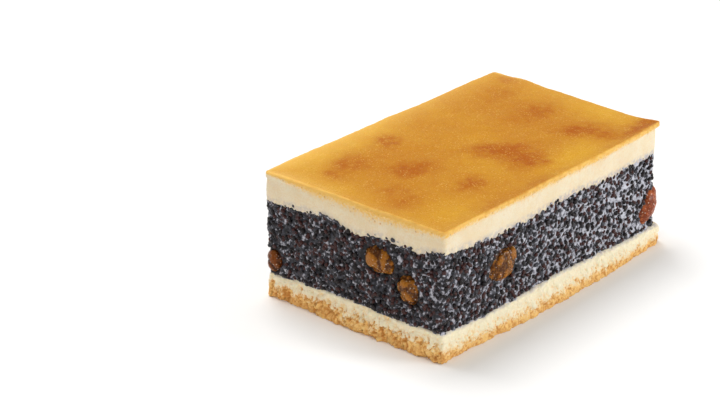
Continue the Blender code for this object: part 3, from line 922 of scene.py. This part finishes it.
@dataclass(frozen=True)
class PoppyFilling:
    """The thick grainy layer: a lumpy paste with pits, and poppy seeds set into its cut faces."""

    step: float = 0.36 * MM
    rows: int = 68
    overlap: float = 0.35 * MM  # into the layers under and over it
    swell_size: float = 4.2 * MM
    lump_size: float = 1.0 * MM
    pit_size: float = 1.25 * MM
    ragged_rows: int = 6  # whose heights follow the ragged line under the custard
    ragged_size: float = 1.3 * MM
    ragged_rise: float = 0.6 * MM
    seed_pitch: float = 1.54 * MM
    seed_shake: float = 0.75  # as a share of the pitch
    seed_size: tuple[float, float, float] = (0.72 * MM, 0.62 * MM, 0.57 * MM)
    seed_scales: tuple[float, float] = (0.86, 1.22)
    seed_depths: tuple[float, float] = (-0.18, 0.36)  # under the paste, in millimetres
    seed_dent: float = 0.16 * MM  # that makes it kidney-shaped
    seed_dent_width: float = 0.24 * MM
    bare_rows: int = 3  # at the foot and at the head
    corner_sink: float = 0.7 * MM  # of the seeds at the rounded corners
    raisin_clearance: float = 1.04  # as a share of the raisin's size
    stray_seeds: int = 48  # that the knife dragged up over the custard
    stray_rise: tuple[float, float] = (-0.3 * MM, 0.6 * MM)
    rim_level: float = 30.8 * MM  # the seeds above it sit deeper
    rim_sink: float = 0.3 * MM
    draw: int = 23  # seed of the random numbers

    def wall(self) -> tuple[Trace, np.ndarray, np.ndarray]:
        """The lumpy cut faces.

        Returns:
            The trace of the foot, the places by row and column, and how high each stands, 0 to 1, for painted
            shade.
        """
        foot, head = FILLING_FOOT.trace(self.step), FILLING_HEAD.trace(self.step)
        share = np.linspace(0, 1, self.rows)[:, None]
        low = BASE_TOP.at(foot.ways) - self.overlap
        high = FILLING_TOP.at(foot.ways) + self.overlap
        count = len(foot.ways)
        places = np.zeros((self.rows, count, 3))
        places[..., :2] = foot.places * (1 - share[..., None]) + head.places * share[..., None]
        places[..., 2] = low * (1 - share) + high * share
        ragged = self.ragged_rows
        fade = (np.arange(ragged) + 1)[:, None] / ragged
        places[-ragged:, :, 2] += self.ragged_rise * fade * clouds(places[-1:], self.ragged_size, 2, 31.0)
        middle, _, own = cells(places, self.pit_size, 2.0)
        pit = smooth_step(0.6, 0.1, middle) * (own > 0.6)
        lumps = clouds(places, self.lump_size, 2, 12.0)
        swell = clouds(places, self.swell_size, 2)
        out = 0.4 * MM * swell + 0.17 * MM * lumps - 0.45 * MM * pit - 0.1 * MM
        # How high the paste stands, which sets its painted shade: low in the pits.
        rise = np.clip(0.5 + 0.42 * lumps - 0.6 * pit, 0, 1)
        for raisin in RAISINS:
            reach = raisin.reach(places)
            crease = 0.3 * MM * np.exp(-(((reach - 1.0) / 0.08) ** 2))
            out -= crease + 1.4 * MM * smooth_step(1.0, 0.8, reach)
            # Painted shade in the groove round each raisin.
            rise *= 1 - 0.6 * np.exp(-(((reach - 1.0) / 0.12) ** 2))
        places[..., :2] += foot.outward * out[..., None]
        return foot, places, rise

    def build(self, paste: PasteFinish) -> list[bpy.types.Object]:
        """Makes the paste and its seeds.

        Args:
            paste: the finish of the paste.

        Returns:
            The pieces. The paste stands for the filling's solid.
        """
        foot, places, rise = self.wall()
        under = places[0] * HIDDEN_RING
        over = places[-1] * HIDDEN_RING
        rings = np.concatenate((under[None], places, over[None]))
        # The paste's paleness, with its painted light on the lit faces.
        pale = PASTE_PALENESS_AND_LIGHT.at(foot.ways) + 0.12 * clouds(rings, 6 * MM, 2, 3.0)
        fields = {"rise": np.pad(rise, ((1, 1), (0, 0)), mode="edge"), "pale": pale}
        heights = float(under[:, 2].mean()), float(over[:, 2].mean())
        piece = ring_stack("poppy_seed_paste", rings, heights, fields, paste.material())
        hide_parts("poppy_filling")
        LOG.info("paste: %d faces", len(piece.data.polygons))
        return [piece, *self.seeds(foot, places)]

    def seed_spots(self, foot: Trace, places: np.ndarray) -> tuple[np.ndarray, np.ndarray]:
        """Chooses where the seeds go.

        They lie on an even grid over the cut faces, shaken up by a seeded draw. A few more are strays, which
        the knife dragged up over the foot of the custard.

        Args:
            foot: the trace of the filling's foot.
            places: the lumpy faces, by row and column.

        Returns:
            The seeds' places on the cut faces and their outward directions.
        """
        rows, count = places.shape[:2]
        draw = np.random.default_rng(self.draw)
        across = round(count * self.step / self.seed_pitch)
        up = round((rows * self.step) / self.seed_pitch)
        column, row = np.meshgrid(np.arange(across), np.arange(up))
        shake = draw.uniform(-self.seed_shake, self.seed_shake, (2, up, across))
        columns = ((column + 0.5 * (row % 2) + shake[0] + 0.5) / across * count).astype(int) % count
        levels = ((row + 0.5 + shake[1]) / up * rows).astype(int)
        levels = np.clip(levels, self.bare_rows, rows - self.bare_rows)
        spots = places[levels, columns].reshape(-1, 3)
        directions = foot.outward[columns].reshape(-1, 2)
        topping = TOPPING_OUTLINE.trace(self.step)
        chosen = draw.choice(count, self.stray_seeds, replace=False)
        heights = FILLING_TOP.at(topping.ways[chosen]) + draw.uniform(*self.stray_rise, self.stray_seeds)
        spots = np.concatenate((spots, np.column_stack((topping.places[chosen], heights))))
        directions = np.concatenate((directions, topping.outward[chosen]))
        free = np.ones(len(spots), dtype=bool)
        for raisin in RAISINS:
            free &= raisin.reach(spots) > self.raisin_clearance
        return spots[free], directions[free]

    def seeds(self, foot: Trace, places: np.ndarray) -> list[bpy.types.Object]:
        """Makes the seeds, one piece for each kind.

        Args:
            foot: the trace of the filling's foot.
            places: the lumpy faces, by row and column.

        Returns:
            The pieces.
        """
        spots, directions = self.seed_spots(foot, places)
        draw = np.random.default_rng(self.draw + 1)
        ball = SphereMesh.of(2)
        shape = ball.points * self.seed_size
        dent = np.exp(-((shape[:, 0] / self.seed_dent_width) ** 2)) * np.clip(ball.points[:, 1], 0, 1)
        shape[:, 1] -= self.seed_dent * dent
        turns = draw.normal(size=(len(spots), 4))
        turns /= np.linalg.norm(turns, axis=1)[:, None]
        sizes = draw.uniform(*self.seed_scales, len(spots))
        buried = draw.uniform(*self.seed_depths, len(spots)) * MM
        buried += self.corner_sink * np.abs(directions[:, 0] * directions[:, 1])
        buried += self.rim_sink * (spots[:, 2] > self.rim_level)
        fate = draw.uniform(0, 1, len(spots))
        tints = draw.uniform(0, 1, len(spots))
        w, x, y, z = turns.T
        turn = np.array(
            (
                (1 - 2 * (y * y + z * z), 2 * (x * y - z * w), 2 * (x * z + y * w)),
                (2 * (x * y + z * w), 1 - 2 * (x * x + z * z), 2 * (y * z - x * w)),
                (2 * (x * z - y * w), 2 * (y * z + x * w), 1 - 2 * (x * x + y * y)),
            )
        ).transpose(2, 0, 1)
        middles = spots.copy()
        middles[:, :2] -= directions * buried[:, None]
        pieces = []
        start = 0.0
        for kind in SeedKind:
            chosen = (fate >= start) & (fate < start + kind.share)
            start += kind.share
            body = np.einsum("nij,vj->nvi", turn[chosen], shape) * sizes[chosen, None, None]
            points = (body + middles[chosen, None, :]).reshape(-1, 3)
            firsts = np.arange(chosen.sum())[:, None, None] * len(shape)
            faces = (ball.faces[None] + firsts).reshape(-1, 3)
            fields = {"tint": np.repeat(tints[chosen], len(shape))}
            material = SeedFinish(kind).material()
            name = f"{kind.label}_poppy_seeds"
            piece = object_of(name, points, faces, fields, material)
            LOG.info("%s: %d seeds, %d faces", name, chosen.sum(), len(faces))
            pieces.append(piece)
        return pieces


@dataclass(frozen=True)
class BrownedSpot:
    """A soft oval patch on the baked skin, turned by some degrees."""

    x: float
    y: float
    long_radius: float
    short_radius: float
    strength: float
    turn: float

    @classmethod
    def all_in_mm(cls, *rows: tuple[float, ...]) -> tuple["BrownedSpot", ...]:
        """Patches from rows of place and radii in millimetres, strength and turn."""
        return tuple(cls(*(size * MM for size in row[:4]), *row[4:]) for row in rows)

    def shade(self, points: np.ndarray) -> np.ndarray:
        """How strongly the patch shows at each place."""
        angle = math.radians(self.turn)
        dx, dy = points[..., 0] - self.x, points[..., 1] - self.y
        along = (dx * math.cos(angle) + dy * math.sin(angle)) / self.long_radius
        across = (dy * math.cos(angle) - dx * math.sin(angle)) / self.short_radius
        return self.strength * np.exp(-0.75 * (along**2 + across**2))


# The caramel-brown spots.
BROWNED_SPOTS = BrownedSpot.all_in_mm(
    (-13.3, 20.9, 6.0, 4.0, 0.85, 30),
    (-31.9, 18.7, 6.5, 4.5, 0.74, 60),
    (-41.3, 16.8, 5.5, 4.0, 0.62, 70),
    (-24.4, 2.4, 7.6, 5.8, 0.84, -30),
    (3.5, -7.5, 10.5, 5.4, 1.00, -35),
    (2.9, -19.8, 6.8, 5.2, 0.92, -20),
    (-20.8, -17.1, 6.0, 4.8, 0.80, 10),
    (31.8, -16.8, 8.0, 4.5, 0.95, -25),
    (33.2, -25.6, 5.0, 3.5, 0.60, 0),
    (-39.0, -3.6, 6.0, 4.5, 0.50, -20),
    (-43.5, -11.8, 5.0, 3.5, 0.55, 0),
    (13.2, 28.7, 8.0, 4.0, 0.30, 10),
    (31.9, 2.6, 10.0, 6.5, 0.50, 20),
    (38.2, 0.4, 6.0, 5.0, 0.35, 0),
    (39.7, 19.1, 7.0, 5.0, 0.50, 0),
    (-6.7, -31.3, 6.0, 3.0, 0.45, 0),
    (-30.1, -31.1, 6.0, 3.0, 0.50, 0),
    (44.0, -30.0, 9.0, 3.5, 0.85, 10),
    (50.5, -31.0, 4.0, 3.5, 0.70, 0),
    (51.7, 25.2, 5.0, 4.0, 0.70, 90),
)

# Places where the skin is a paler yellow.
YELLOW_PLACES = BrownedSpot.all_in_mm(
    (-45.0, -24.0, 14.0, 9.0, 0.45, -30),
    (-30.0, 29.0, 26.0, 7.0, 0.55, 0),
    (-50.0, 10.0, 7.0, 18.0, 0.30, 0),
    (16.0, -27.0, 15.0, 6.0, 0.55, 0),
    (48.0, -12.0, 6.0, 14.0, 0.45, 0),
    (-8.0, -12.0, 12.0, 8.0, 0.25, 20),
)


@dataclass(frozen=True)
class CustardTopping:
    """The custard layer with its baked skin: a smooth wall, a thin lip, a crest and the browned top."""

    step: float = 0.5 * MM
    wall_rows: int = 20
    lip_rows: int = 9
    top_rows: int = 64
    overlap: float = 0.5 * MM  # into the filling under it
    ragged_foot: float = 0.45 * MM
    ragged_size: float = 1.3 * MM
    flow_size: float = 11 * MM  # of the knife's slow waves
    flow_depth: float = 0.2 * MM
    belly: float = 0.1 * MM
    lip_depth: float = 2.2 * MM
    lip: float = 0.2 * MM
    edge_radius: float = 0.45 * MM
    edge_angles: tuple[int, ...] = (30, 60, 82)  # of the rings round the edge, in degrees
    crest: float = 0.35 * MM
    crest_width: float = 2.4 * MM
    rim_fade: float = 4 * MM  # over which the rim's waves die out on the top
    ring_spacing: float = 1.25  # power that crowds the top's rings toward the rim
    highlight_line_width: float = 0.35 * MM  # width of the painted highlight line along the rim
    pale_sheen_reach: float = 4.5 * MM  # over which the paleness and painted sheen beside the rim die out
    spot_depth: float = 1.2 * MM  # that the browned spots reach down the skin's edge
    stain_height: float = 2.3 * MM  # of the custard's greyed foot
    left_droop: float = 0.3 * MM
    right_rise: float = 0.9 * MM
    corner_reach: float = 0.12  # of both, along the edges, as a way

    def nearness(self, ways: np.ndarray, corner: int) -> np.ndarray:
        """How near each way is to a corner: 1 at it and 0 well away."""
        past = (ways - corner + 2) % 4 - 2
        return np.exp(-((past / self.corner_reach) ** 2))

    def rim_height(self, ways: np.ndarray) -> np.ndarray:
        """The height of the rim, which droops at the left corner and curls up at the right one."""
        left, right = self.nearness(ways, 3), self.nearness(ways, 1)
        return HEIGHT + RIM_RISE.at(ways) - self.left_droop * left + self.right_rise * right

    def flow(self, ring: np.ndarray) -> np.ndarray:
        """The slow waves that the knife left in the cut."""
        return self.flow_depth * clouds(ring, self.flow_size, 2)

    def rings(self) -> tuple[np.ndarray, np.ndarray, np.ndarray]:
        """The topping's surface.

        Returns:
            The places by ring and column, and for each how far under the rim and how far in from it it lies.
        """
        lower, upper = TOPPING_OUTLINE.trace(self.step), SKIN_OUTLINE.trace(self.step)
        ways = lower.ways
        rim = self.rim_height(ways)
        foot = FILLING_TOP.at(ways) - self.overlap
        line = np.column_stack((lower.places, foot))
        foot += self.ragged_foot * clouds(line, self.ragged_size, 2, 61.0)
        made, deep, inward = [], [], []
        for share in np.linspace(0, 1, self.wall_rows):
            height = foot * (1 - share) + (rim - self.lip_depth) * share
            ring = np.column_stack((lower.places, height))
            out = self.flow(ring) + 0.05 * MM * clouds(ring, 1.4 * MM, 2, 5.0)
            ring[:, :2] += lower.outward * (out + self.belly * math.sin(math.pi * share))[:, None]
            made.append(ring)
            deep.append(rim - height)
            inward.append(np.zeros(len(ways)))
        for share in np.linspace(0.12, 1, self.lip_rows):
            height = rim - self.lip_depth + share * (self.lip_depth - self.edge_radius)
            come_out = smooth_step(0.0, 0.5, share)
            base = lower.places * (1 - come_out) + upper.places * come_out
            ring = np.column_stack((base, height))
            rough = 0.13 * MM * clouds(ring, 5 * MM, 2, 2.0) + 0.09 * MM * clouds(ring, 0.9 * MM, 2, 15.0)
            out = come_out * (self.lip + rough) + (1 - come_out) * self.flow(ring)
            ring[:, :2] += upper.outward * out[:, None]
            made.append(ring)
            deep.append(rim - height)
            inward.append(np.zeros(len(ways)))
        edge = made[-1]
        for angle in np.radians(self.edge_angles):
            ring = edge.copy()
            back = 1 - math.cos(angle)
            ring[:, :2] -= upper.outward * self.edge_radius * back
            ring[:, 2] += self.edge_radius * math.sin(angle)
            made.append(ring)
            deep.append(rim - ring[:, 2])
            inward.append(np.full(len(ways), self.edge_radius * back))
        last = made[-1]
        for share in np.linspace(0, 1, self.top_rows + 1)[1:-1]:
            scale = 1 - share**self.ring_spacing
            ring = last * (scale, scale, 1)
            gap = np.minimum(LENGTH / 2 - np.abs(ring[:, 0]), WIDTH / 2 - np.abs(ring[:, 1]))
            inside = np.clip(gap, 0, None)
            fall = 1 - np.exp(-((inside / self.crest_width) ** 2))
            wave = (ring[:, 2] - HEIGHT) * np.exp(-inside / self.rim_fade)
            ring[:, 2] = HEIGHT + wave - self.crest * fall
            rough = 0.10 * MM * clouds(ring, 13 * MM, 2, 9.0) + 0.02 * MM * clouds(ring, 2.5 * MM, 2)
            ring[:, 2] += rough * fall
            made.append(ring)
            deep.append(np.zeros(len(ways)))
            inward.append(inside)
        return np.array(made), np.array(deep), np.array(inward)

    def build(self, finish: CustardFinish) -> bpy.types.Object:
        """Makes the topping.

        Args:
            finish: of custard and skin.

        Returns:
            The piece, which stands for its solid.
        """
        rings, deep, inward = self.rings()
        ways = TOPPING_OUTLINE.trace(self.step).ways
        reach = SKIN_REACH.at(ways) * (1 + 0.12 * clouds(rings, 7.0 * MM, 2, 7.0))
        bake = np.clip(1.15 - deep / reach, 0, 1.15)
        uneven = rings + 0.9 * MM * np.stack([clouds(rings, 8 * MM, 2, s) for s in (1.0, 2.0, 3.0)], axis=-1)
        caramel = sum(spot.shade(uneven) for spot in BROWNED_SPOTS)
        mottled = 0.90 + 0.26 * clouds(rings, 2.4 * MM, 3, 4.0)
        caramel = np.clip(caramel, 0, 1) * mottled * (deep < self.spot_depth)
        yellow = 0.24 + 0.12 * clouds(rings, 18 * MM, 2, 40.0)
        yellow += sum(spot.shade(rings) for spot in YELLOW_PLACES)
        broken = np.clip(0.5 + 0.9 * clouds(rings, 2.0 * MM, 2, 50.0), 0, 1)
        # Painted highlight: a broken pale line along the rim.
        line = np.exp(-((inward / self.highlight_line_width) ** 2)) * smooth_step(0.8 * MM, 0.3 * MM, deep)
        line *= 0.5 + 0.5 * broken
        # Partly paler skin and partly painted sheen beside the rim, dying out inward.
        paler = 0.75 * np.exp(-inward / self.pale_sheen_reach) * RIM_PALENESS_AND_SHEEN.at(ways)
        # On the side walls the skin turns to the paler edge gold: partly its own fade, partly painted light
        # for the dimmer sides.
        rim = np.clip(line + paler + 0.65 * smooth_step(0.2 * MM, 0.8 * MM, deep), 0, 0.9)
        over_filling = rings[..., 2] - FILLING_TOP.at(ways)
        # The stain greys with the paste's paleness, and so also with the painted light in it.
        greyness = 0.45 + 0.5 * np.clip(2 * PASTE_PALENESS_AND_LIGHT.at(ways), 0, 1)
        stain = smooth_step(self.stain_height, 0.4 * MM, over_filling) * greyness
        speck = smooth_step(0.0, 0.3, bake) * smooth_step(1.0, 0.7, bake) * (inward < 0.1 * MM) * 0.45
        fields = {
            "bake": bake,
            "caramel": caramel,
            "yellow": yellow,
            "rim": rim,
            "stain": stain,
            "speck": speck,
        }
        under = rings[0] * HIDDEN_RING
        closed = np.concatenate((under[None], rings))
        padded = {key: np.pad(grid, ((1, 0), (0, 0)), mode="edge") for key, grid in fields.items()}
        heights = float(under[:, 2].mean()), float(rings[-1, :, 2].mean())
        piece = ring_stack("custard_and_baked_skin", closed, heights, padded, finish.material())
        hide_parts("custard_topping")
        LOG.info("topping: %d faces", len(piece.data.polygons))
        return piece


@dataclass(frozen=True)
class Studio:
    """The white floor, the soft light and the camera at the photograph's angle."""

    focal_length: float = 105.0  # in millimetres, as the sensor
    sensor_width: float = 36.0
    clip: tuple[float, float] = (0.01, 20.0)
    azimuth: float = -48.70675
    elevation: float = 24.48281
    distance: float = 0.635711
    target: tuple[float, float, float] = (-0.018576, 0.027163, 0.020)
    sky: float = 0.43
    sky_colour: Colour = (1.0, 0.985, 0.965, 1.0)
    floor_size: float = 6.0
    floor_drop: float = 0.00005  # under the slice, so that the two never lie in one plane

    def back(self) -> Vector:
        """The direction from the target to the camera."""
        a, e = math.radians(self.azimuth), math.radians(self.elevation)
        return Vector((math.sin(a) * math.cos(e), -math.cos(a) * math.cos(e), math.sin(e)))

    def build(self) -> None:
        """Makes the floor, lights and camera."""
        scene = bpy.context.scene
        scene.view_settings.view_transform = "Standard"
        self.floor()
        self.sky_light()
        self.lamp("key", (0.32, -0.60, 0.24), 0.26, 2.40, (0.95, 0.985, 1.01))
        self.lamp("top", (0.02, 0.22, 0.60), 0.36, 2.95, (1.0, 1.0, 1.0))
        self.lamp("fill", (-0.62, -0.25, 0.26), 0.26, 0.70, (1.0, 0.94, 0.85))
        data = bpy.data.cameras.new("camera")
        data.lens = self.focal_length
        data.sensor_width = self.sensor_width
        data.clip_start, data.clip_end = self.clip
        camera = bpy.data.objects.new("camera", data)
        camera.location = Vector(self.target) + self.back() * self.distance
        camera.rotation_mode = "QUATERNION"
        camera.rotation_quaternion = (-self.back()).to_track_quat("-Z", "Y")
        scene.collection.objects.link(camera)
        scene.camera = camera

    def floor(self) -> None:
        """Lays the floor."""
        half = self.floor_size / 2
        mesh = bpy.data.meshes.new("floor")
        corners = [(x * half, y * half, -self.floor_drop) for x, y in SQUARE]
        mesh.from_pydata(corners, [], [(0, 1, 2, 3)])
        mesh.materials.append(FloorFinish().material())
        floor = bpy.data.objects.new("floor", mesh)
        bpy.context.scene.collection.objects.link(floor)

    def sky_light(self) -> None:
        """Fills the studio with even, barely warm light."""
        world = bpy.data.worlds.new("studio")
        world.use_nodes = True
        background = world.node_tree.nodes["Background"]
        background.inputs["Color"].default_value = self.sky_colour
        background.inputs["Strength"].default_value = self.sky
        bpy.context.scene.world = world

    def lamp(
        self,
        name: str,
        place: tuple[float, float, float],
        size: float,
        power: float,
        colour: tuple[float, float, float],
    ) -> None:
        """Hangs a square soft lamp that faces the slice.

        Args:
            name: of the lamp.
            place: its middle.
            size: its side.
            power: in watts.
            colour: of its light.
        """
        data = bpy.data.lights.new(name, "AREA")
        data.size = size
        data.energy = power
        data.color = colour
        lamp = bpy.data.objects.new(name, data)
        lamp.location = place
        aim = Vector((0, 0, HEIGHT / 2)) - Vector(place)
        lamp.rotation_euler = aim.to_track_quat("-Z", "Y").to_euler()
        bpy.context.scene.collection.objects.link(lamp)


def main() -> None:
    """Builds the slice and its studio."""
    logging.basicConfig(level=logging.INFO, format="%(message)s")
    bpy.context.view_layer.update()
    Studio().build()
    ShortcrustBase().build(ShortcrustFinish())
    PoppyFilling().build(PasteFinish())
    CustardTopping().build(CustardFinish())
    for raisin in RAISINS:
        raisin.build()


if __name__ == "__main__":
    main()
